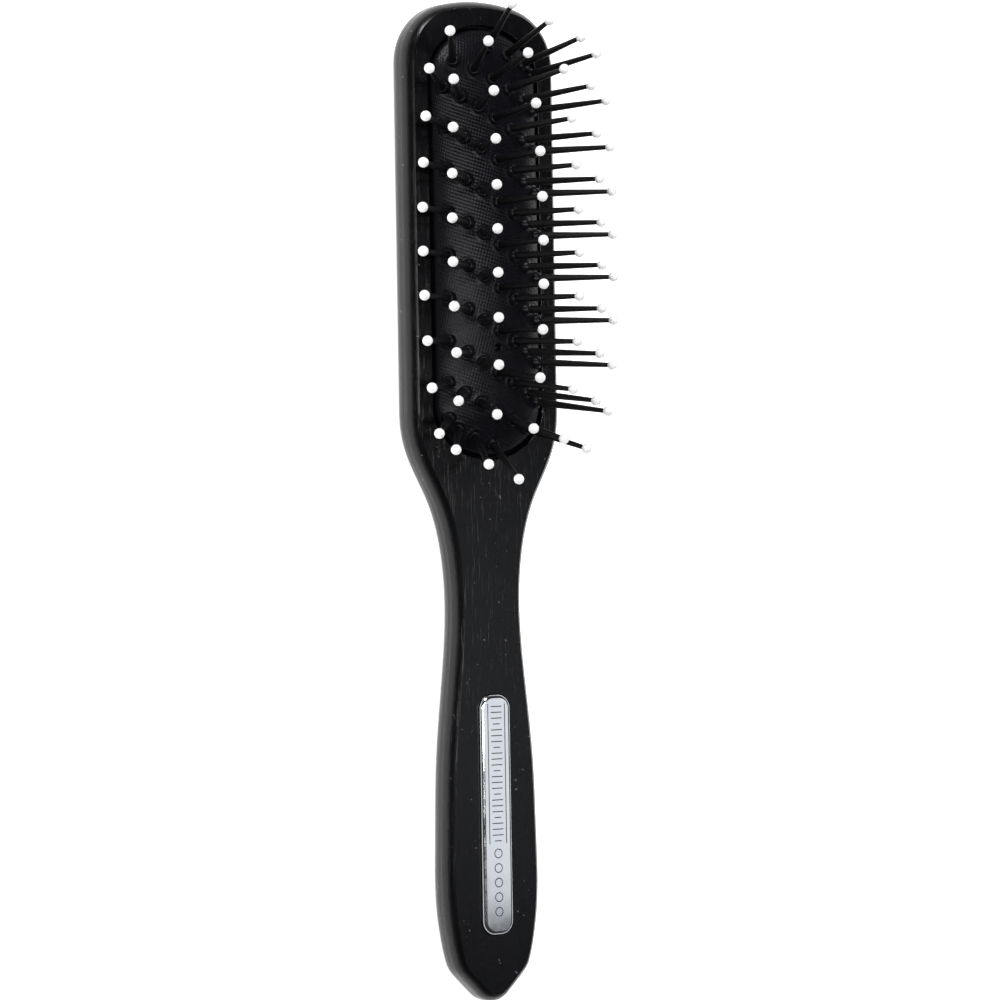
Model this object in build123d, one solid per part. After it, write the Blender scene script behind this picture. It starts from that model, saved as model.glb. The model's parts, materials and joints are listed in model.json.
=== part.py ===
from build123d import *

import math
import os

# Cushion hair brush with ball-tipped pins, modelled lying on its back.
#
# Frame, in millimetres: +Y runs from the grip to the head, +Z is the way the middle pins point, +X is to
# the right seen from the pins. The origin is the centre of the bounding box's underside, so the flat back
# rests on z = 0.

# Driving dimensions of the body
LENGTH = 228.0
THICKNESS = 9.4
HEAD_HALF_WIDTH = 20.4
HEAD_CORNER_RADIUS = 13.7
HEAD_TOP_RADIUS = 42.0
GRIP_END_RADIUS = 5.5
GRIP_END_SLOPE = 46.0  # degrees between the long axis and the flanks beside the end radius
FRONT_EDGE_RADIUS = 3.4
FRONT_EDGE_ANGLE = 30.0  # where the rounded edge meets the flat face, in degrees
MOUTH_BREAK_RADIUS = 0.25  # round the pocket's mouth
BACK_EDGE_RADIUS = 4.8

# Driving dimensions of the pocket and the cushion
POCKET_HALF_WIDTH = 15.0
POCKET_TOP = 222.3  # along the brush, from the grip's end
POCKET_BOTTOM = 123.6
POCKET_TOP_RUN = 12.5  # length of the elliptical end towards the head
POCKET_BOTTOM_RUN = 12.0  # length of the elliptical end towards the grip
LEDGE_DEPTH = 2.8
LEDGE_WIDTH = 2.2
POCKET_DEPTH = 7.0
GLUE_THICKNESS = 0.25
CUSHION_GAP = 0.3
DOME_START = -0.8  # height of the dome's edge above the face
DOME_HEIGHT = 6.4
DOME_FALL = 0.6  # share of its height that the dome loses towards its two ends
SKIN = 1.3
VENT_RADIUS = 0.55
VENT_PLACE = (-0.2, 148.8)

# Driving dimensions of the pins
COLUMNS = "abcdefg"
COLUMN_SPACING = 4.1
ROW_PITCH = 9.7
ROW_SLANT = 0.25  # each column stands this share of a pitch further down than the one to its left
FIELD_MIDDLE = 172.1  # the middle pin of the middle column, along the brush
FIELD_ROWS = 5.2  # pitches from the middle to the last row, less FIELD_CORNER for each column
FIELD_CORNER = 0.2
END_DRAW_IN = 0.07  # how much the last rows close up along the brush
END_SPREAD = 0.3  # how much the last rows open out across it
PIN_REACH = 17.3  # from the skin to the centre of the ball
PIN_BASE_RADIUS = 0.9
PIN_END_RADIUS = 0.55
PIN_HEAD_RADIUS = 1.2
PIN_HEAD_THICKNESS = 0.6
PIN_HEAD_GAP = 1.05  # room under the skin, which a leaning pin crosses at a slant
PIN_CLEARANCE = 0.07
BALL_RADIUS = 1.17
SIDE_LEANS = (0.0, 24.0, 44.5, 52.0)  # outward lean by steps from the middle column, in degrees
END_LEAN = 28.0  # lengthwise lean of the last rows
END_TWIST = 12.0  # the last rows also lean this much to the left
EDGE_SHARE = 0.82  # no pin is nearer the cushion's edge than this share of the way out

# Driving dimensions of the badge
BADGE_LENGTH = 55.0
BADGE_WIDTH = 8.5
BADGE_CORNER = 3.4
BADGE_MIDDLE = 42.7  # along the brush
BADGE_RECESS = 0.7
BADGE_GAP = 0.1
BADGE_RISE = 1.0
BADGE_EDGE_RADIUS = 0.9
TAPE_THICKNESS = 0.25
INLAY_DEPTH = 0.2
RULE_WIDTH = 0.22

# Worked out from the above
HALF_LENGTH = LENGTH / 2
FACE = THICKNESS
TOP_RUN_START = POCKET_TOP - POCKET_TOP_RUN
BOTTOM_RUN_START = POCKET_BOTTOM + POCKET_BOTTOM_RUN
CUSHION_HALF_WIDTH = POCKET_HALF_WIDTH - CUSHION_GAP
FLANGE_BOTTOM = FACE - LEDGE_DEPTH + GLUE_THICKNESS
FIELD_CENTRE = (POCKET_TOP + POCKET_BOTTOM) / 2 - HALF_LENGTH
FIELD_HALF_LENGTH = (POCKET_TOP - POCKET_BOTTOM) / 2
BALL_ENTRY = PIN_REACH - math.sqrt(BALL_RADIUS**2 - PIN_END_RADIUS**2)


def along(distance):
    """The Y of a place that is measured from the grip's end."""
    return distance - HALF_LENGTH


def end_on(corner, arc_radius, half_width, tip):
    """Centre height of a corner that touches the straight side and an end arc reaching to tip."""
    across = half_width - corner
    return tip - arc_radius + math.sqrt((arc_radius - corner) ** 2 - across**2)


def body_outline():
    """The brush's widest outline: a square-shouldered head, a slim neck and a pointed grip."""
    corner_y = along(end_on(HEAD_CORNER_RADIUS, HEAD_TOP_RADIUS, HEAD_HALF_WIDTH, LENGTH))
    corner_x = HEAD_HALF_WIDTH - HEAD_CORNER_RADIUS
    top_centre = along(LENGTH - HEAD_TOP_RADIUS)
    reach = HEAD_TOP_RADIUS / (HEAD_TOP_RADIUS - HEAD_CORNER_RADIUS)
    corner_end = (corner_x * reach, top_centre + (corner_y - top_centre) * reach)
    turn = math.atan2(corner_y - top_centre, corner_x) / 2
    corner_middle = (
        corner_x + HEAD_CORNER_RADIUS * math.cos(turn),
        corner_y + HEAD_CORNER_RADIUS * math.sin(turn),
    )
    slope = math.radians(GRIP_END_SLOPE)
    end_touch = (
        GRIP_END_RADIUS * math.cos(slope),
        along(GRIP_END_RADIUS * (1 - math.sin(slope))),
    )
    flank = [
        (HEAD_HALF_WIDTH, along(134.0)),
        (17.6, along(122.3)),
        (13.1, along(113.6)),
        (10.0, along(103.0)),
        (9.0, along(88.0)),
        (10.1, along(74.0)),
        (12.0, along(55.0)),
        (12.65, along(36.0)),
        (12.2, along(18.5)),
        (10.2, along(9.0)),
        end_touch,
    ]
    with BuildLine() as half:
        RadiusArc((0, along(LENGTH)), corner_end, HEAD_TOP_RADIUS)
        ThreePointArc(corner_end, corner_middle, (HEAD_HALF_WIDTH, corner_y))
        Line((HEAD_HALF_WIDTH, corner_y), flank[0])
        Spline(*flank, tangents=[(0, -1), (-math.sin(slope), -math.cos(slope))])
        RadiusArc(end_touch, (0, along(0)), GRIP_END_RADIUS)
        mirror(about=Plane.YZ)
    return make_face(half.edges())


def pocket_outline(inset=0.0):
    """The pocket's outline, drawn in by inset: straight sides between two elliptical ends."""
    half_width = POCKET_HALF_WIDTH - inset
    top_y, bottom_y = along(TOP_RUN_START), along(BOTTOM_RUN_START)
    with BuildLine() as outline:
        Line((half_width, bottom_y), (half_width, top_y))
        EllipticalCenterArc((0, top_y), half_width, POCKET_TOP_RUN - inset, 0, arc_size=180)
        Line((-half_width, top_y), (-half_width, bottom_y))
        EllipticalCenterArc((0, bottom_y), half_width, POCKET_BOTTOM_RUN - inset, 180, arc_size=180)
    return make_face(outline.edges())


def prism(face, bottom, top):
    """A flat face pulled up from one height to another."""
    return extrude(Pos(0, 0, bottom) * face, top - bottom)


def dome_share(y):
    """What is left of the dome's full height at a place along it, before its rounded ends."""
    return 1 - DOME_FALL * ((y - FIELD_CENTRE) / FIELD_HALF_LENGTH) ** 2


def dome(inset=0.0):
    """The cushion's crown: where an elliptical bar, a long shallow arch and the outline meet."""
    half_width = CUSHION_HALF_WIDTH - inset
    height = DOME_HEIGHT - inset
    top_y, bottom_y = along(TOP_RUN_START), along(BOTTOM_RUN_START)
    top_height = DOME_HEIGHT * dome_share(top_y) - inset
    bottom_height = DOME_HEIGHT * dome_share(bottom_y) - inset
    top_run = POCKET_TOP_RUN - CUSHION_GAP - inset
    bottom_run = POCKET_BOTTOM_RUN - CUSHION_GAP - inset
    with BuildLine(Plane.XZ) as across:
        Line((-half_width, 0), (half_width, 0))
        EllipticalCenterArc((0, 0), half_width, height, 0, arc_size=180)
    with BuildLine(Plane.YZ) as lengthwise:
        Line((bottom_y - bottom_run, 0), (top_y + top_run, 0))
        EllipticalCenterArc((top_y, 0), top_run, top_height, 0, arc_size=90)
        ThreePointArc((top_y, top_height), (FIELD_CENTRE, height), (bottom_y, bottom_height))
        EllipticalCenterArc((bottom_y, 0), bottom_run, bottom_height, 90, arc_size=90)
    bar = extrude(make_face(across.edges()), LENGTH, both=True)
    arch = extrude(make_face(lengthwise.edges()), HEAD_HALF_WIDTH, both=True)
    block = prism(pocket_outline(CUSHION_GAP + inset), -DOME_HEIGHT, 2 * DOME_HEIGHT)
    return Pos(0, 0, FACE + DOME_START) * (bar & arch & block)


def share_out(x, distance):
    """How far a place lies from the cushion's middle line, as a share of the way to its edge."""
    if distance > TOP_RUN_START:
        past, run = distance - TOP_RUN_START, POCKET_TOP_RUN
    elif distance < BOTTOM_RUN_START:
        past, run = BOTTOM_RUN_START - distance, POCKET_BOTTOM_RUN
    else:
        past, run = 0.0, 1.0
    return math.hypot(x / POCKET_HALF_WIDTH, past / run)


def skin_height(x, distance):
    """Height of the cushion's outer surface over a place."""
    share = min(share_out(x, distance), 1.0)
    height = DOME_HEIGHT * dome_share(along(distance))
    return FACE + DOME_START + height * math.sqrt(1 - share**2)


def pin_place(step, row):
    """Where a pin stands: a slanted grid that closes up and opens out at the field's two ends."""
    outer = abs(row) / 5
    x = step * COLUMN_SPACING * (1 + END_SPREAD * outer**6)
    distance = FIELD_MIDDLE - row * ROW_PITCH * (1 - END_DRAW_IN * outer**4)
    share = share_out(x, distance)
    if share <= EDGE_SHARE:
        return x, distance
    pull = EDGE_SHARE / share
    centre = min(max(distance, BOTTOM_RUN_START), TOP_RUN_START)
    return x * pull, centre + (distance - centre) * pull


def pin_direction(step, row):
    """Unit vector along a pin: the field fans out sideways, and lengthwise towards its two ends."""
    outer = abs(row) / 5
    sideways = SIDE_LEANS[abs(step)] * math.copysign(1, step) * (1 - 0.5 * outer**2.5)
    sideways -= END_TWIST * outer**4
    lengthwise = -END_LEAN * math.copysign(outer**3, row) * (1 - 0.1 * abs(step))
    across, down = math.radians(sideways), math.radians(lengthwise)
    return Vector(
        math.sin(across) * math.cos(down),
        math.sin(down),
        math.cos(across) * math.cos(down),
    )


def pin_frames(column):
    """A plane for each pin of a column: its origin on the skin, its z axis along the pin."""
    step = column - len(COLUMNS) // 2
    last = FIELD_ROWS - FIELD_CORNER * abs(step)
    frames = []
    for count in range(-7, 8):
        row = count + ROW_SLANT * step
        if abs(row) > last:
            continue
        x, distance = pin_place(step, row)
        foot = Vector(x, along(distance), skin_height(x, distance))
        frames.append(Plane(foot, x_dir=(0, 1, 0), z_dir=pin_direction(step, row)))
    return frames


def bar_on(frame, radius, start, end):
    """A round bar along a pin's axis."""
    lifted = Plane(frame.origin + frame.z_dir * start, x_dir=frame.x_dir, z_dir=frame.z_dir)
    return extrude(lifted * Circle(radius), end - start)


def pin(frame):
    """One nylon pin: a flat head under the skin, a shank through it and a tapering shaft."""
    under = -SKIN - PIN_HEAD_GAP
    with BuildLine(Plane.XZ) as side:
        Polyline(
            (0, under - PIN_HEAD_THICKNESS),
            (PIN_HEAD_RADIUS, under - PIN_HEAD_THICKNESS),
            (PIN_HEAD_RADIUS, under),
            (PIN_BASE_RADIUS, under),
            (PIN_BASE_RADIUS, SKIN),
            (PIN_END_RADIUS, BALL_ENTRY),
            (PIN_END_RADIUS, PIN_REACH),
            (0, PIN_REACH),
            close=True,
        )
    return frame.location * revolve(make_face(side.edges()), Axis.Z)


def ball(frame):
    """The rounded tip moulded over a shaft's end, which stops at the ball's centre."""
    with BuildLine(Plane.XZ) as side:
        Line((0, PIN_REACH), (PIN_END_RADIUS, PIN_REACH))
        Line((PIN_END_RADIUS, PIN_REACH), (PIN_END_RADIUS, BALL_ENTRY))
        ThreePointArc(
            (PIN_END_RADIUS, BALL_ENTRY), (BALL_RADIUS, PIN_REACH), (0, PIN_REACH + BALL_RADIUS)
        )
        Line((0, PIN_REACH + BALL_RADIUS), (0, PIN_REACH))
    return frame.location * revolve(make_face(side.edges()), Axis.Z)


def handle_body():
    """The one-piece wooden body, with the pocket for the cushion and the recess for the badge."""
    edge_angle = math.radians(FRONT_EDGE_ANGLE)
    trimmed = FRONT_EDGE_RADIUS * (1 - math.cos(edge_angle))
    blank = extrude(body_outline(), THICKNESS + trimmed)
    blank = fillet(blank.faces().sort_by(Axis.Z)[-1].edges(), FRONT_EDGE_RADIUS)
    blank = fillet(blank.faces().sort_by(Axis.Z)[0].edges(), BACK_EDGE_RADIUS)
    blank -= Pos(0, 0, FACE + trimmed) * Box(LENGTH, 2 * LENGTH, 2 * trimmed)
    blank -= prism(pocket_outline(), FACE - LEDGE_DEPTH, FACE + 1)
    mouth = blank.faces().sort_by(Axis.Z)[-1].inner_wires()[0]
    blank = fillet(mouth.edges(), MOUTH_BREAK_RADIUS)
    blank -= prism(pocket_outline(LEDGE_WIDTH), FACE - POCKET_DEPTH, FACE)
    blank -= prism(badge_outline(), FACE - BADGE_RECESS, FACE + 1)
    return blank


def cushion_adhesive():
    """The glue line between the cushion's flange and the pocket's ledge."""
    ring = pocket_outline(CUSHION_GAP) - pocket_outline(LEDGE_WIDTH)
    return prism(ring, FACE - LEDGE_DEPTH, FLANGE_BOTTOM)


def cushion_pad(frames):
    """The rubber cushion: a flange, a thin domed skin, and a hole for each pin."""
    dome_base = FACE + DOME_START
    pad = prism(pocket_outline(CUSHION_GAP), FLANGE_BOTTOM, dome_base) + dome()
    pad -= prism(pocket_outline(LEDGE_WIDTH), FLANGE_BOTTOM, dome_base) + dome(SKIN)
    hole = PIN_BASE_RADIUS + PIN_CLEARANCE
    for frame in frames:
        pad -= bar_on(frame, hole, -3 * SKIN, 3 * SKIN)
    vent_x, vent_distance = VENT_PLACE
    pad -= Pos(vent_x, along(vent_distance), FACE) * Cylinder(VENT_RADIUS, 4 * DOME_HEIGHT)
    return pad


def badge_outline(inset=0.0):
    """The badge's outline, drawn in by inset."""
    width, length = BADGE_WIDTH - 2 * inset, BADGE_LENGTH - 2 * inset
    return Pos(0, along(BADGE_MIDDLE)) * RectangleRounded(width, length, BADGE_CORNER - inset)


def badge_pattern():
    """Plain line work in place of a name: two rules, a comb of short bars and a few rings."""
    centre = along(BADGE_MIDDLE)
    rule_length = 0.58 * BADGE_LENGTH
    rule_x = 0.27 * BADGE_WIDTH
    rule_y = centre + 0.46 * BADGE_LENGTH - rule_length / 2
    marks = [Pos(x, rule_y) * Rectangle(RULE_WIDTH, rule_length) for x in (-rule_x, rule_x)]
    bars = 24
    bar_pitch = rule_length / bars
    for i in range(bars):
        y = rule_y + (i - (bars - 1) / 2) * bar_pitch
        width = 1.3 * rule_x if i % 4 else 0.8 * rule_x
        marks.append(Pos(0, y) * Rectangle(width, RULE_WIDTH))
    ring_radius = 0.13 * BADGE_WIDTH
    for i in range(5):
        y = rule_y - rule_length / 2 - (2 + 3 * i) * ring_radius
        marks.append(Pos(0, y) * (Circle(ring_radius) - Circle(ring_radius - RULE_WIDTH)))
    return marks


def badge_pieces():
    """The chrome plate, the dark inlay in its face and the tape that holds it in the recess."""
    floor = FACE - BADGE_RECESS
    top = FACE + BADGE_RISE
    tape = prism(badge_outline(3 * BADGE_GAP), floor, floor + TAPE_THICKNESS)
    plate = prism(badge_outline(BADGE_GAP), floor + TAPE_THICKNESS, top)
    plate = fillet(plate.faces().sort_by(Axis.Z)[-1].edges(), BADGE_EDGE_RADIUS)
    inlay = [prism(mark, top - INLAY_DEPTH, top) for mark in badge_pattern()]
    return plate - inlay, Compound(children=inlay), tape


def write(shape, node):
    """Writes one node, its solids kept apart."""
    solids = shape.solids() if hasattr(shape, "solids") else [s for x in shape for s in x.solids()]
    export_step(Compound(solids), f"parts/{node}.step")
    print(node, len(solids), "solids")


def main():
    os.makedirs("parts", exist_ok=True)
    columns = [pin_frames(i) for i in range(len(COLUMNS))]
    write(handle_body(), "handle_body")
    write(cushion_adhesive(), "cushion_adhesive")
    write(cushion_pad([frame for frames in columns for frame in frames]), "cushion_pad")
    plate, inlay, tape = badge_pieces()
    write(plate, "badge_plate")
    write(inlay, "badge_inlay")
    write(tape, "badge_tape")
    for letter, frames in zip(COLUMNS, columns):
        write(Compound(children=[pin(frame) for frame in frames]), f"pins_{letter}")
        write(Compound(children=[ball(frame) for frame in frames]), f"tips_{letter}")


main()
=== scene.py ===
"""Looks of the cushion hair brush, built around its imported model. All lengths are in metres.

The brush lies on its back: +Y runs from the grip to the head, and +Z is the way the middle pins point.
"""

import json
import math
import random

import bpy
import numpy as np
from mathutils import Matrix, Vector


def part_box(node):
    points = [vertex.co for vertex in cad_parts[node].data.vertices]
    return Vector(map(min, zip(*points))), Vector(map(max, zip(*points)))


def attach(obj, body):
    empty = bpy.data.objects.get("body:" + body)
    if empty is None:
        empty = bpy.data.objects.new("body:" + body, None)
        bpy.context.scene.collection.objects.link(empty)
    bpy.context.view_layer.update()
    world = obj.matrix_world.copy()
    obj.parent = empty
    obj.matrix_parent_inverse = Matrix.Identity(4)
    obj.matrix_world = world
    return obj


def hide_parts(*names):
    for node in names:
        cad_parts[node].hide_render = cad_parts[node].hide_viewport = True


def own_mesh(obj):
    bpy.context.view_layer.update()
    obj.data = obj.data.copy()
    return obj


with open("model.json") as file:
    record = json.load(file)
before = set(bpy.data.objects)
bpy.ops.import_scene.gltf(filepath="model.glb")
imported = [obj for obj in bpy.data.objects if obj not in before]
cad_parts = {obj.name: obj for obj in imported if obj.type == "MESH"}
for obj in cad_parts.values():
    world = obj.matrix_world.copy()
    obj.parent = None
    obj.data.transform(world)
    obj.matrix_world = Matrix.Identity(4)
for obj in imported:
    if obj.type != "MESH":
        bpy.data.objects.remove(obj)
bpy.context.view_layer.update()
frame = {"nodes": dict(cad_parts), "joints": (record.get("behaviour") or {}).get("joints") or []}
MM = 0.001
random.seed(7)

# Places read off the frame
BODY_LOW, BODY_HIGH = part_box("handle_body")
PAD_LOW, PAD_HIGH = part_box("cushion_pad")
FACE = BODY_HIGH[2]
PRESS = [joint for joint in frame["joints"] if joint["name"] == "column_d_press"][0]
DOME_BASE = PRESS["deforming_nodes"][0]["fixed_end_z_m"]

# The cushion's form
HALF_WIDTH = 15.0 * MM
RUN_TOP, RUN_BOTTOM = 12.5 * MM, 12.0 * MM  # lengths of the pocket's elliptical ends
RIM_GAP = 0.3 * MM  # between the pad and the pocket's wall
GROOVE = 0.5 * MM  # how much further in the dome starts
TOP_START = PAD_HIGH[1] + RIM_GAP - RUN_TOP
BOTTOM_START = PAD_LOW[1] - RIM_GAP + RUN_BOTTOM
PAD_CENTRE = (PAD_LOW[1] + PAD_HIGH[1]) / 2
PAD_HALF_LENGTH = (PAD_HIGH[1] - PAD_LOW[1]) / 2 + RIM_GAP
DOME_HEIGHT = 6.4 * MM
DOME_FALL = 0.6  # share of its height that the dome loses towards its two ends
NET_PITCH = 0.78 * MM
NET_DEPTH = 0.12 * MM
NET_ANGLE = math.radians(15)
MESH_STEP = 0.19 * MM
COLLAR_RADIUS = 1.35 * MM
COLLAR_HEIGHT = 0.75 * MM
VENT_PLACE = (-0.2 * MM, 34.8 * MM)
VENT_RADIUS = 0.75 * MM

# The pins' slanted grid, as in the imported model
COLUMN_SPACING = 4.1 * MM
ROW_PITCH = 9.7 * MM
FIELD_MIDDLE = 58.1 * MM
PIN_REACH = 17.3 * MM
SIDE_LEANS = (0.0, 24.0, 44.5, 52.0)


# ---------------------------------------------------------------- material helpers


def new_material(name, **inputs):
    """A Principled material with plain values set on the shader's own sockets."""
    material = bpy.data.materials.new(name)
    material.use_nodes = True
    shader = material.node_tree.nodes["Principled BSDF"]
    for socket, value in inputs.items():
        shader.inputs[socket.replace("_", " ")].default_value = value
    return material, material.node_tree, shader


def add_node(tree, kind, **settings):
    """A shader node with its settings; names of input sockets are given in a dict."""
    node = tree.nodes.new(kind)
    for name, value in settings.pop("inputs", {}).items():
        node.inputs[name].default_value = value
    for name, value in settings.items():
        setattr(node, name, value)
    return node


def object_coordinates(tree, scale=(1, 1, 1)):
    """Object coordinates, stretched by scale."""
    coordinates = add_node(tree, "ShaderNodeTexCoord")
    mapping = add_node(tree, "ShaderNodeMapping", inputs={"Scale": scale})
    tree.links.new(coordinates.outputs["Object"], mapping.inputs["Vector"])
    return mapping.outputs["Vector"]


def noise(tree, vector, scale, detail=3.0, roughness=0.55):
    """A noise texture's factor, in features per metre."""
    node = add_node(
        tree,
        "ShaderNodeTexNoise",
        inputs={"Scale": scale, "Detail": detail, "Roughness": roughness},
    )
    tree.links.new(vector, node.inputs["Vector"])
    return node.outputs["Fac"]


def ramp(tree, factor, *stops):
    """A colour ramp with (position, colour) stops."""
    node = add_node(tree, "ShaderNodeValToRGB")
    elements = node.color_ramp.elements
    for i, (position, colour) in enumerate(stops):
        element = elements[i] if i < 2 else elements.new(position)
        element.position = position
        element.color = (*colour, 1) if len(colour) == 3 else colour
    tree.links.new(factor, node.inputs["Fac"])
    return node.outputs["Color"]


def remap(tree, factor, low, high, to_low, to_high):
    """A number moved from one range to another."""
    node = add_node(
        tree,
        "ShaderNodeMapRange",
        inputs={"From Min": low, "From Max": high, "To Min": to_low, "To Max": to_high},
    )
    tree.links.new(factor, node.inputs["Value"])
    return node.outputs["Result"]


def combine(tree, operation, first, second):
    """Two numbers combined; second may be a plain number."""
    node = add_node(tree, "ShaderNodeMath", operation=operation)
    tree.links.new(first, node.inputs[0])
    if isinstance(second, (int, float)):
        node.inputs[1].default_value = second
    else:
        tree.links.new(second, node.inputs[1])
    return node.outputs[0]


def bump(tree, shader, height, distance, strength=1.0, after=None):
    """Adds a bump of a height in metres to a shader's normal."""
    node = add_node(tree, "ShaderNodeBump", inputs={"Strength": strength, "Distance": distance})
    tree.links.new(height, node.inputs["Height"])
    if after is not None:
        tree.links.new(after, node.inputs["Normal"])
    tree.links.new(node.outputs["Normal"], shader.inputs["Normal"])
    return node.outputs["Normal"]


# ---------------------------------------------------------------- materials


def lacquer_material():
    """Satin black lacquer over wood: faint grain, open pores, fine dust specks and worn sheen."""
    material, tree, shader = new_material(
        "black_lacquer", IOR=1.46, Specular_IOR_Level=0.36
    )
    grain_space = object_coordinates(tree, (1, 0.06, 1))
    fine_space = object_coordinates(tree)
    grain = noise(tree, grain_space, 2600, 4)
    broad = noise(tree, grain_space, 420, 3)
    colour = ramp(
        tree,
        combine(tree, "ADD", combine(tree, "MULTIPLY", grain, 0.45), combine(tree, "MULTIPLY", broad, 0.55)),
        (0.32, (0.0014, 0.0014, 0.0018)),
        (0.68, (0.0030, 0.0031, 0.0040)),
    )
    specks = noise(tree, fine_space, 900, 1, 0.4)
    speck_mask = remap(tree, specks, 0.765, 0.80, 0.0, 1.0)
    mix = add_node(tree, "ShaderNodeMix", data_type="RGBA")
    tree.links.new(speck_mask, mix.inputs["Factor"])
    tree.links.new(colour, mix.inputs[6])
    mix.inputs[7].default_value = (0.10, 0.10, 0.11, 1)
    tree.links.new(mix.outputs[2], shader.inputs["Base Color"])
    cloud = noise(tree, fine_space, 90, 4)
    sheen = remap(tree, cloud, 0.3, 0.7, 0.19, 0.26)
    tree.links.new(combine(tree, "ADD", sheen, combine(tree, "MULTIPLY", grain, 0.05)), shader.inputs["Roughness"])
    pores = remap(tree, grain, 0.30, 0.42, 0.0, 1.0)
    first = bump(tree, shader, pores, 0.02 * MM, 0.7)
    bump(tree, shader, noise(tree, fine_space, 900, 4), 0.045 * MM, 0.5, after=first)
    return material


def rubber_material():
    """Blue-black rubber with a finely mottled tone and gloss."""
    material, tree, shader = new_material("cushion_rubber", IOR=1.5, Specular_IOR_Level=0.14)
    fine = object_coordinates(tree)
    dust = noise(tree, fine, 2200, 4)
    colour = ramp(tree, dust, (0.35, (0.0026, 0.0026, 0.0040)), (0.75, (0.0052, 0.0052, 0.0078)))
    tree.links.new(colour, shader.inputs["Base Color"])
    tree.links.new(remap(tree, dust, 0.3, 0.7, 0.27, 0.38), shader.inputs["Roughness"])
    bump(tree, shader, noise(tree, fine, 9000, 2), 0.008 * MM, 0.4)
    return material


def nylon_material():
    """Black nylon with a soft gloss and faint drawing marks along each pin."""
    material, tree, shader = new_material("pin_nylon", IOR=1.53, Specular_IOR_Level=0.16)
    space = object_coordinates(tree, (1, 1, 0.25))
    marks = noise(tree, space, 2400, 3)
    colour = ramp(tree, marks, (0.3, (0.0022, 0.0022, 0.0027)), (0.75, (0.0050, 0.0050, 0.0058)))
    tree.links.new(colour, shader.inputs["Base Color"])
    tree.links.new(remap(tree, marks, 0.3, 0.7, 0.38, 0.5), shader.inputs["Roughness"])
    bump(tree, shader, marks, 0.01 * MM, 0.4)
    return material


def tip_material():
    """Off-white epoxy balls, slightly translucent, with a smooth shine."""
    material, tree, shader = new_material(
        "tip_resin", IOR=1.5, Subsurface_Weight=0.5, Subsurface_Scale=0.8 * MM
    )
    shader.inputs["Subsurface Radius"].default_value = (1, 1, 1)
    fine = object_coordinates(tree)
    tone = noise(tree, fine, 600, 2)
    colour = ramp(tree, tone, (0.3, (0.90, 0.90, 0.89)), (0.7, (0.95, 0.95, 0.945)))
    tree.links.new(colour, shader.inputs["Base Color"])
    tree.links.new(remap(tree, tone, 0.3, 0.7, 0.22, 0.32), shader.inputs["Roughness"])
    bump(tree, shader, noise(tree, fine, 1800, 2), 0.01 * MM, 0.3)
    return material


def chrome_material():
    """Bright chrome with light rubbing marks along the badge and a few fine scratches."""
    material, tree, shader = new_material("badge_chrome", Metallic=1.0)
    rubbed = object_coordinates(tree, (1, 0.05, 1))
    marks = noise(tree, rubbed, 5200, 3)
    fine = object_coordinates(tree)
    smears = noise(tree, fine, 260, 4)
    colour = ramp(tree, smears, (0.3, (0.80, 0.81, 0.83)), (0.7, (0.90, 0.905, 0.91)))
    tree.links.new(colour, shader.inputs["Base Color"])
    rough = combine(tree, "ADD", remap(tree, smears, 0.35, 0.7, 0.05, 0.11), combine(tree, "MULTIPLY", marks, 0.04))
    tree.links.new(rough, shader.inputs["Roughness"])
    bump(tree, shader, marks, 0.004 * MM, 0.25)
    return material


def inlay_material():
    """Dark enamel filled into the badge's lines, a little uneven."""
    material, tree, shader = new_material("badge_inlay", IOR=1.5)
    fine = object_coordinates(tree)
    tone = noise(tree, fine, 3000, 2)
    colour = ramp(tree, tone, (0.3, (0.010, 0.010, 0.012)), (0.7, (0.026, 0.026, 0.030)))
    tree.links.new(colour, shader.inputs["Base Color"])
    tree.links.new(remap(tree, tone, 0.3, 0.7, 0.3, 0.5), shader.inputs["Roughness"])
    bump(tree, shader, tone, 0.01 * MM, 0.4)
    return material


def filler_material(name, low, high, rough):
    """Glue or tape: mottled and dull."""
    material, tree, shader = new_material(name, IOR=1.45)
    tone = noise(tree, object_coordinates(tree), 1500, 3)
    tree.links.new(ramp(tree, tone, (0.3, low), (0.7, high)), shader.inputs["Base Color"])
    tree.links.new(remap(tree, tone, 0.3, 0.7, rough - 0.1, rough + 0.1), shader.inputs["Roughness"])
    bump(tree, shader, tone, 0.02 * MM, 0.5)
    return material


def floor_material():
    """White seamless paper, evenly lit through from behind."""
    material, tree, shader = new_material(
        "floor_paper", Roughness=0.9, Specular_IOR_Level=0.1, Emission_Strength=1.0
    )
    tone = noise(tree, object_coordinates(tree), 60, 3)
    colour = ramp(tree, tone, (0.3, (0.95, 0.95, 0.95)), (0.7, (0.965, 0.965, 0.965)))
    tree.links.new(colour, shader.inputs["Base Color"])
    shader.inputs["Emission Color"].default_value = (1, 1, 1, 1)
    return material


# ---------------------------------------------------------------- mesh helpers


def mesh_object(name, points, faces, material, smooth=True):
    """An object made of points and faces."""
    mesh = bpy.data.meshes.new(name)
    mesh.from_pydata([tuple(p) for p in points], [], [tuple(int(i) for i in f) for f in faces])
    mesh.validate()
    mesh.update()
    if smooth:
        mesh.polygons.foreach_set("use_smooth", [True] * len(mesh.polygons))
    piece = bpy.data.objects.new(name, mesh)
    bpy.context.scene.collection.objects.link(piece)
    mesh.materials.append(material)
    return piece


def repaint(node, material):
    """Puts a material on every slot of a CAD node."""
    piece = frame["nodes"][node]
    if not piece.material_slots:
        piece.data.materials.append(material)
    for slot in piece.material_slots:
        slot.material = material


# ---------------------------------------------------------------- the cushion


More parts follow.
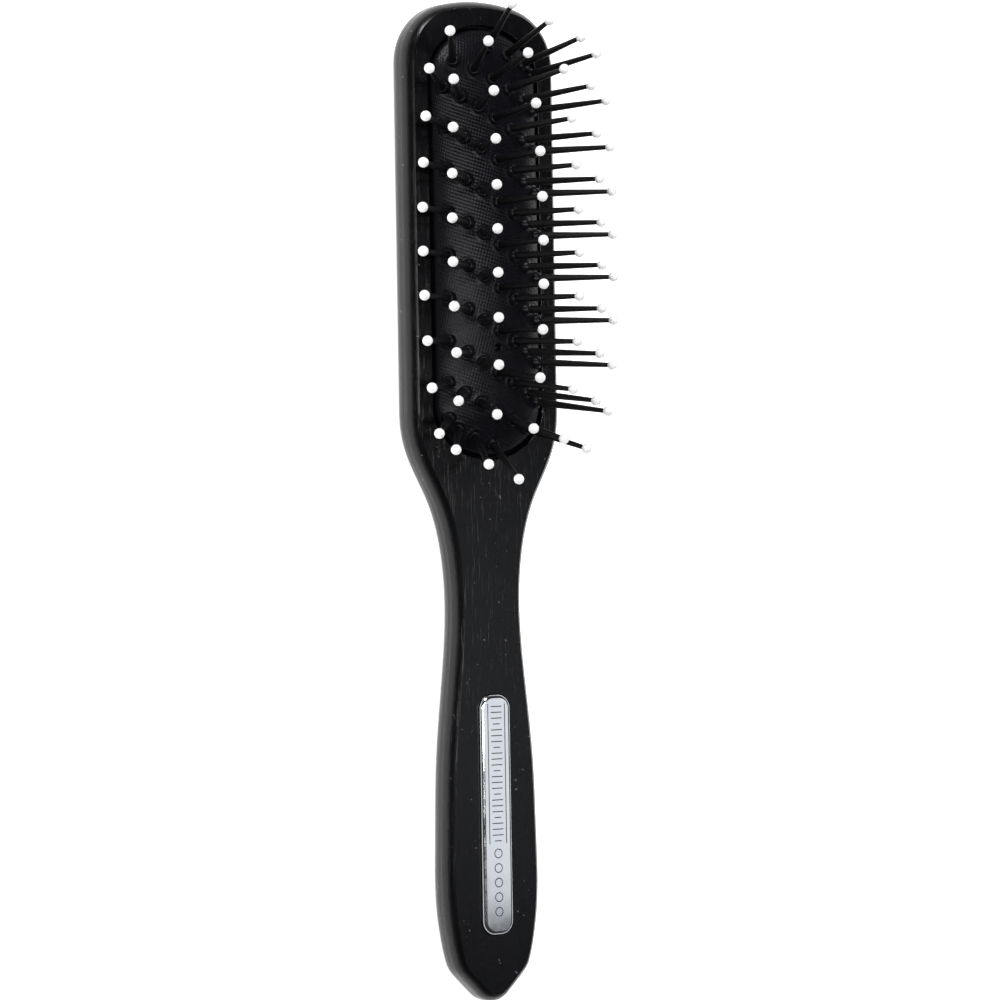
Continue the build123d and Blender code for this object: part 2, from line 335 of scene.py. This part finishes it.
def edge_share(x, y, half_width, shorter=0.0):
    """How far a place lies from the cushion's middle line, as a share of the way to its edge."""
    if y > TOP_START:
        past = (y - TOP_START) / (RUN_TOP - shorter)
    elif y < BOTTOM_START:
        past = (BOTTOM_START - y) / (RUN_BOTTOM - shorter)
    else:
        past = 0.0
    return math.hypot(x / half_width, past)


def dome_share(y):
    """What is left of the dome's full height at a place along it, before its rounded ends."""
    return 1 - DOME_FALL * ((y - PAD_CENTRE) / PAD_HALF_LENGTH) ** 2


def pin_foot(step, row):
    """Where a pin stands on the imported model's skin."""
    outer = abs(row) / 5
    x = step * COLUMN_SPACING * (1 + 0.3 * outer**6)
    y = FIELD_MIDDLE - row * ROW_PITCH * (1 - 0.07 * outer**4)
    share = edge_share(x, y, HALF_WIDTH)
    if share > 0.82:
        pull = 0.82 / share
        centre = min(max(y, BOTTOM_START), TOP_START)
        x, y, share = x * pull, centre + (y - centre) * pull, 0.82
    return Vector((x, y, DOME_BASE + DOME_HEIGHT * dome_share(y) * math.sqrt(1 - share**2)))


def pin_direction(step, row):
    """Unit vector along a pin."""
    outer = abs(row) / 5
    across = math.copysign(SIDE_LEANS[abs(step)], step) * (1 - 0.5 * outer**2.5) - 12 * outer**4
    down = -28 * math.copysign(outer**3, row) * (1 - 0.1 * abs(step))
    across, down = math.radians(across), math.radians(down)
    return Vector(
        (math.sin(across) * math.cos(down), math.sin(down), math.cos(across) * math.cos(down))
    )


def pins():
    """(foot, direction) of every pin."""
    found = []
    for step in range(-3, 4):
        for count in range(-7, 8):
            row = count + step / 4
            if abs(row) <= 5.2 - 0.2 * abs(step):
                found.append((pin_foot(step, row), pin_direction(step, row)))
    return found


def cushion_stations():
    """(y, share of full width) along the dome, close enough for the net, down to both ends."""
    stations = []
    for i in range(1, int(RUN_BOTTOM / MESH_STEP) + 1):
        angle = math.pi / 2 * i / int(RUN_BOTTOM / MESH_STEP)
        stations.append((BOTTOM_START - (RUN_BOTTOM - RIM_GAP - GROOVE) * math.cos(angle), math.sin(angle)))
    straight = int((TOP_START - BOTTOM_START) / MESH_STEP)
    for i in range(1, straight):
        stations.append((BOTTOM_START + (TOP_START - BOTTOM_START) * i / straight, 1.0))
    for i in range(int(RUN_TOP / MESH_STEP)):
        angle = math.pi / 2 * i / int(RUN_TOP / MESH_STEP)
        stations.append((TOP_START + (RUN_TOP - RIM_GAP - GROOVE) * math.sin(angle), math.cos(angle)))
    return stations


def net_relief(x, y, half_width):
    """Height of the moulded net, from 0 in its hollows to 1 on its knots."""
    flank = np.arcsin(np.clip(x / half_width, -1, 1))
    around = half_width * (0.93 * flank + 0.04 * np.sin(2 * flank))
    turned = around * math.cos(NET_ANGLE) - y * math.sin(NET_ANGLE)
    across = around * math.sin(NET_ANGLE) + y * math.cos(NET_ANGLE)
    threads = [0.5 + 0.5 * np.cos(2 * math.pi * u / NET_PITCH) for u in (turned, across)]
    return threads[0] * threads[1]


def cushion_skin():
    """Points and faces of the domed skin with its net, and the loop of points round its rim from which the skirt
    goes down.
    """
    half_width = HALF_WIDTH - RIM_GAP - GROOVE
    across = int(math.pi * half_width * 0.85 / MESH_STEP)
    turns = np.linspace(-math.pi / 2, math.pi / 2, across)
    rows = []
    for y, share in cushion_stations():
        x = half_width * share * np.sin(turns)
        z = DOME_BASE + DOME_HEIGHT * dome_share(y) * share * np.cos(turns)
        rows.append(np.stack([x, np.full(across, y), z], 1))
    grid = np.array(rows)
    along = np.gradient(grid, axis=0)
    beside = np.gradient(grid, axis=1)
    normals = np.cross(beside, along)
    normals /= np.maximum(np.linalg.norm(normals, axis=2, keepdims=True), 1e-12)
    relief = net_relief(grid[..., 0], grid[..., 1], half_width)
    rim_fade = np.clip((grid[..., 2] - DOME_BASE) / (1.6 * MM), 0, 1)
    relief *= rim_fade
    flat = grid.reshape(-1, 3)
    clear = np.ones(len(flat))
    for foot, _ in pins():
        gap = np.linalg.norm(flat - np.array(foot), axis=1)
        clear = np.minimum(clear, np.clip((gap - 1.7 * MM) / (0.5 * MM), 0, 1))
    vent = np.hypot(flat[:, 0] - VENT_PLACE[0], flat[:, 1] - VENT_PLACE[1])
    clear = np.minimum(clear, np.clip((vent - VENT_RADIUS) / (0.4 * MM), 0, 1))
    relief = relief * clear.reshape(relief.shape) + (1 - clear.reshape(relief.shape)) * rim_fade
    grid = grid + normals * (NET_DEPTH * (relief - 1) * rim_fade)[..., None]
    pit = np.clip(1.25 - vent / VENT_RADIUS, 0, 1).reshape(relief.shape)
    grid[..., 2] -= 1.6 * MM * np.minimum(pit * 2, 1)
    count, width = grid.shape[:2]
    points = [tuple(p) for p in grid.reshape(-1, 3)]
    faces = []
    for i in range(count - 1):
        for j in range(width - 1):
            a = i * width + j
            faces.append((a, a + 1, a + width + 1, a + width))
    return points, faces, rim_loop(count, width)


def rim_loop(count, width):
    """Indices round the edge of a grid of points, anticlockwise seen from above."""
    loop = list(range(width))
    loop += [i * width + width - 1 for i in range(1, count)]
    loop += [(count - 1) * width + j for j in range(width - 2, -1, -1)]
    loop += [i * width for i in range(count - 2, 0, -1)]
    return loop


def add_skirt(points, faces, loop):
    """Takes the rim down to the flange, out to the pocket's wall, and closes it underneath."""
    centre = Vector((0, PAD_CENTRE, 0))
    previous = loop
    for drop, outward in ((0.25, 0.0), (0.9, 0.02), (1.3, 0.3), (1.45, 0.46), (1.72, 0.5)):
        ring = []
        for index in loop:
            place = Vector(points[index])
            inner = Vector((0, min(max(place.y, BOTTOM_START), TOP_START), 0))
            away = Vector((place.x, place.y - inner.y, 0))
            away = away.normalized() if away.length > 1e-9 else (place - centre).normalized()
            ring.append(len(points))
            points.append((place.x + away.x * outward * MM, place.y + away.y * outward * MM, DOME_BASE - drop * MM))
        for k in range(len(loop)):
            after = (k + 1) % len(loop)
            faces.append((previous[after], previous[k], ring[k], ring[after]))
        previous = ring
    faces.append(tuple(reversed(previous)))


def add_collar(points, faces, foot, direction):
    """A moulded collar round a pin: flared at the skin, rounded at its lip."""
    profile = (
        (1.25, -1.7), (1.22, -0.9), (1.16, -0.2), (1.06, 0.35), (0.97, 0.68), (0.86, 0.88),
        (0.74, 0.97), (0.66, 0.96), (0.60, 0.86), (0.585, 0.4), (0.585, -1.7),
    )
    across = direction.orthogonal().normalized()
    beside = direction.cross(across)
    segments = 28
    first = len(points)
    for out, up in profile:
        for i in range(segments):
            turn = 2 * math.pi * i / segments
            spoke = across * math.cos(turn) + beside * math.sin(turn)
            points.append(tuple(foot + spoke * out * COLLAR_RADIUS + direction * up * COLLAR_HEIGHT))
    for ring in range(len(profile)):
        following = (ring + 1) % len(profile)
        for i in range(segments):
            j = (i + 1) % segments
            faces.append(
                (
                    first + ring * segments + i,
                    first + ring * segments + j,
                    first + following * segments + j,
                    first + following * segments + i,
                )
            )


def make_cushion(material):
    """The rubber cushion, fixed to the body; on the real brush it flattens towards the face when the pins are
    pressed.
    """
    points, faces, loop = cushion_skin()
    add_skirt(points, faces, loop)
    for foot, direction in pins():
        add_collar(points, faces, foot, direction)
    cushion = mesh_object("rubber_cushion", points, faces, material)
    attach(cushion, "body")
    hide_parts("cushion_pad")
    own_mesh(cushion)
    return cushion


# ---------------------------------------------------------------- stage

VIEW_SIDE = math.radians(34.3)  # the camera stands this far over to the left of straight above
VIEW_ROLL = math.radians(0.957)
VIEW_DISTANCE = 0.95
PIXELS_PER_METRE = 4375
PICTURE = 1000
OFF_CENTRE = (21.4, 1.5)  # from the brush's middle to the picture's, in picture units


def make_camera():
    """A long lens at the side of the pins, with the brush upright in the picture."""
    side = Vector((math.cos(VIEW_SIDE), 0, math.sin(VIEW_SIDE)))
    back = Vector((-math.sin(VIEW_SIDE), 0, math.cos(VIEW_SIDE)))
    right = side * math.cos(VIEW_ROLL) - Vector((0, 1, 0)) * math.sin(VIEW_ROLL)
    up = back.cross(right)
    target = Vector((0, 0, FACE / 2))
    target += right * (OFF_CENTRE[0] / PIXELS_PER_METRE) + up * (OFF_CENTRE[1] / PIXELS_PER_METRE)
    data = bpy.data.cameras.new("camera")
    data.sensor_width = 36
    data.lens = 36 * VIEW_DISTANCE / (PICTURE / PIXELS_PER_METRE)
    data.clip_start, data.clip_end = 0.01, 20
    camera = bpy.data.objects.new("camera", data)
    camera.matrix_world = Matrix.Translation(target + back * VIEW_DISTANCE) @ Matrix(
        (right, up, back)
    ).transposed().to_4x4()
    bpy.context.scene.collection.objects.link(camera)
    bpy.context.scene.camera = camera


def area_light(name, place, target, size, power, colour=(1, 1, 1)):
    """A rectangular soft light aimed at a point."""
    data = bpy.data.lights.new(name, "AREA")
    data.shape = "RECTANGLE"
    data.size, data.size_y = size
    data.energy = power
    data.color = colour
    lamp = bpy.data.objects.new(name, data)
    lamp.location = place
    lamp.rotation_euler = (Vector(target) - Vector(place)).to_track_quat("-Z", "Y").to_euler()
    bpy.context.scene.collection.objects.link(lamp)
    return lamp


def make_world():
    """A white horizon under a dark ceiling, so that only the brush's flanks mirror the white."""
    world = bpy.data.worlds.new("studio")
    bpy.context.scene.world = world
    world.use_nodes = True
    tree = world.node_tree
    coordinates = add_node(tree, "ShaderNodeTexCoord")
    split = add_node(tree, "ShaderNodeSeparateXYZ")
    tree.links.new(coordinates.outputs["Generated"], split.inputs["Vector"])
    sky = ramp(
        tree,
        split.outputs["Z"],
        (0.0, (1.0, 1.0, 1.0)),
        (0.12, (0.6, 0.6, 0.6)),
        (0.3, (0.10, 0.10, 0.11)),
        (0.6, (0.03, 0.03, 0.035)),
    )
    background = tree.nodes["Background"]
    tree.links.new(sky, background.inputs["Color"])
    background.inputs["Strength"].default_value = 1.0


def make_floor():
    """A white sheet that glows a little, as a lit sweep does."""
    size = 1.6
    points = [(-size, -size, 0), (size, -size, 0), (size, size, 0), (-size, size, 0)]
    floor = mesh_object("floor", points, [(0, 1, 2, 3)], floor_material(), smooth=False)


def make_lights():
    """Soft panels, each placed where one part of the brush mirrors it towards the camera."""
    area_light("panel_grip", (0.40, -0.079, 0.586), (0, -0.05, 0), (0.17, 0.16), 0.073, (0.9, 0.95, 1.0))
    area_light("panel_overhead", (-0.10, 0.02, 0.75), (0, 0.02, 0), (0.24, 0.7), 3.9)
    area_light("strip_beyond", (-0.13, 0.66, 0.50), (0, 0.1, 0), (0.25, 0.1), 3.2)
    area_light("lamp_beside_camera", (-0.50, 0.05, 0.72), (0, 0, 0), (0.08, 0.08), 0.35)


# ---------------------------------------------------------------- put together

make_world()
make_camera()
make_lights()
make_floor()

lacquer = lacquer_material()
nylon = nylon_material()
tips = tip_material()
repaint("handle_body", lacquer)
repaint("badge_plate", chrome_material())
repaint("badge_inlay", inlay_material())
repaint("badge_tape", filler_material("tape", (0.50, 0.50, 0.47), (0.66, 0.66, 0.62), 0.6))
repaint("cushion_adhesive", filler_material("glue", (0.20, 0.14, 0.06), (0.32, 0.24, 0.11), 0.4))
for letter in "abcdefg":
    repaint(f"pins_{letter}", nylon)
    repaint(f"tips_{letter}", tips)
make_cushion(rubber_material())

bpy.context.scene.view_settings.view_transform = "Standard"
